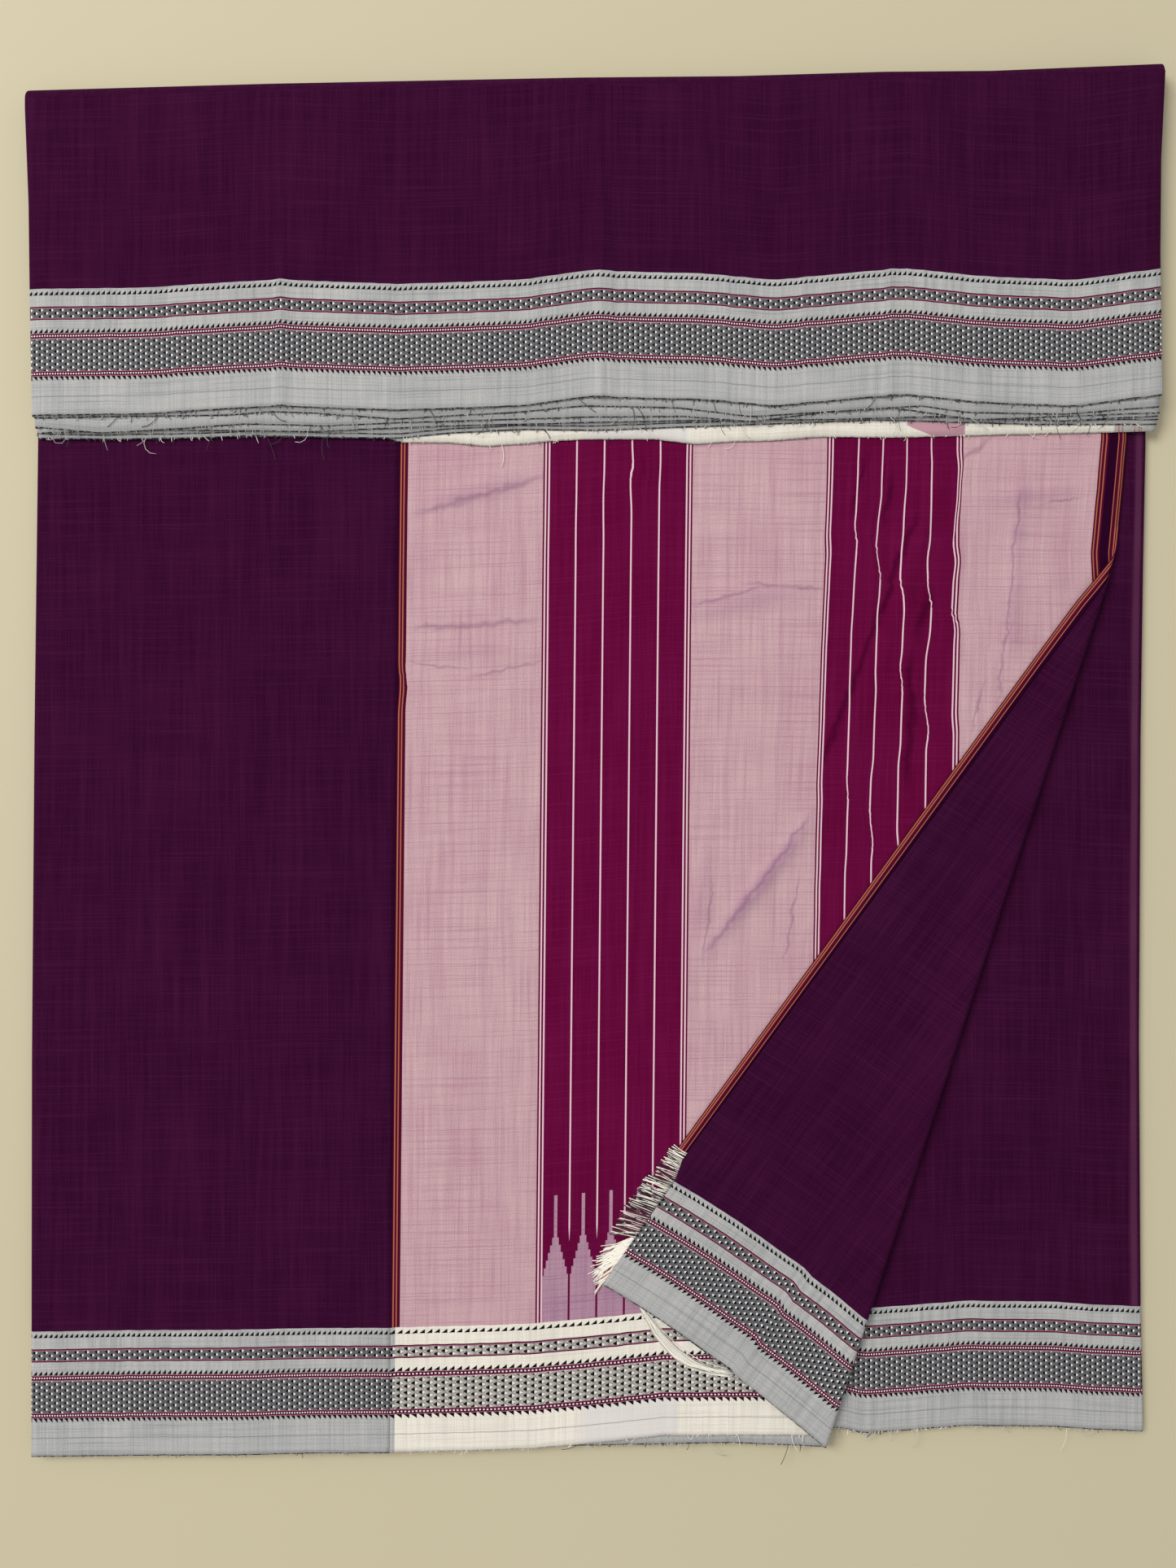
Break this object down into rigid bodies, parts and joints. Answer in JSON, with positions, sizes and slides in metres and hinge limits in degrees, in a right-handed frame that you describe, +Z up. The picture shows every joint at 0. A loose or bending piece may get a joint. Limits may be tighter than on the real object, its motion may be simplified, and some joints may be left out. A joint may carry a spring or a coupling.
{
  "type": "folded cotton saree",
  "caption": "Cotton saree folded flat in layers, its upper fifth turned down over the front and one lower corner turned over to show the pallu's fringed end.",
  "frame": {"origin": "middle of the whole folded stack, on the surface it lies on", "axes": "+X along the cloth's length towards the end of the pallu, +Y across its width towards the turned-down fold, +Z up off the surface"},
  "size_m": [0.8036, 0.988, 0.0187],
  "materials": {
    "plum_cotton": "matte handloom weave",
    "grey_border": "matte handloom weave with woven bands",
    "pallu_cotton": "matte handloom weave with stripes",
    "cream_border": "matte handloom weave",
    "loose_yarn": "soft twisted cotton yarn"
  },
  "bodies": {
    "root": {"back_layer": "plum_cotton", "inner_layers": "grey_border", "right_stretch": "plum_cotton", "inner_end": "plum_cotton", "body_stretch": "plum_cotton", "pallu": "pallu_cotton", "turned_border": "cream_border", "outer_fold": "plum_cotton", "end_fringe": "loose_yarn", "warp_threads": "loose_yarn"}
  },
  "joints": []
}
